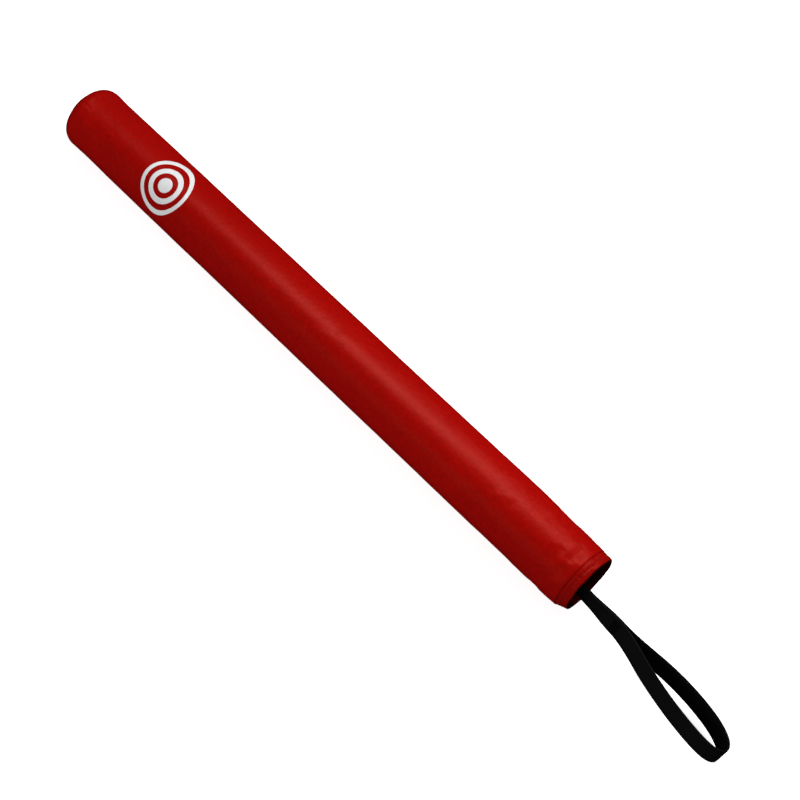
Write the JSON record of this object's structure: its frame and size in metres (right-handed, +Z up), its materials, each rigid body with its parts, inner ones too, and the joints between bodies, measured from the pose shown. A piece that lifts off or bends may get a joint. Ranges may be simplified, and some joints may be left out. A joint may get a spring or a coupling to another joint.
{
  "type": "boxing precision stick",
  "caption": "Long padded striking stick with a rounded tip, a smooth red cover hemmed at its open grip end, and a black webbing wrist loop that swings and folds.",
  "frame": {"origin": "middle of the stick's length, without the strap, on the surface that it lies on", "axes": "+X from the rounded tip to the open end and the strap, +Z up with the stick lying on its side, printed mark on the -Y side"},
  "size_m": [0.7686, 0.057, 0.0564],
  "materials": {
    "red_cover": "satin",
    "red_thread": "matte",
    "white_print": "satin",
    "black_foam": "matte",
    "grey_tube": "satin",
    "black_plastic": "matte",
    "plated_steel": "satin",
    "black_webbing": "matte",
    "black_thread": "matte"
  },
  "bodies": {
    "stick": {"cover_sleeve": "red_cover", "cover_tip": "red_cover", "cover_hem": "red_cover", "hem_stitching": "red_thread", "seam_stitching": "red_thread", "printed_mark": "white_print", "foam_sleeve": "black_foam", "tip_foam": "black_foam", "core_tube": "grey_tube", "tube_tip_cap": "black_plastic", "strap_plug": "black_plastic", "cross_pin": "plated_steel", "push_nut": "plated_steel", "strap_tails": "black_webbing"},
    "neck": {"strap_neck": "black_webbing", "strap_bartack": "black_thread"},
    "loop": {"wrist_loop": "black_webbing"}
  },
  "joints": [
    {"name": "strap_swing", "type": "hinge", "parent": "stick", "child": "neck", "pos_m": [0.30849, -0.0056, 0.02359], "axis": [0.0854, 0, 0.9963], "range_deg": [-90, 90]},
    {"name": "loop_fold", "type": "hinge", "parent": "neck", "child": "loop", "pos_m": [0.34685, -0.0056, 0.0203], "axis": [0.0854, 0, 0.9963], "range_deg": [-70, 70]}
  ]
}
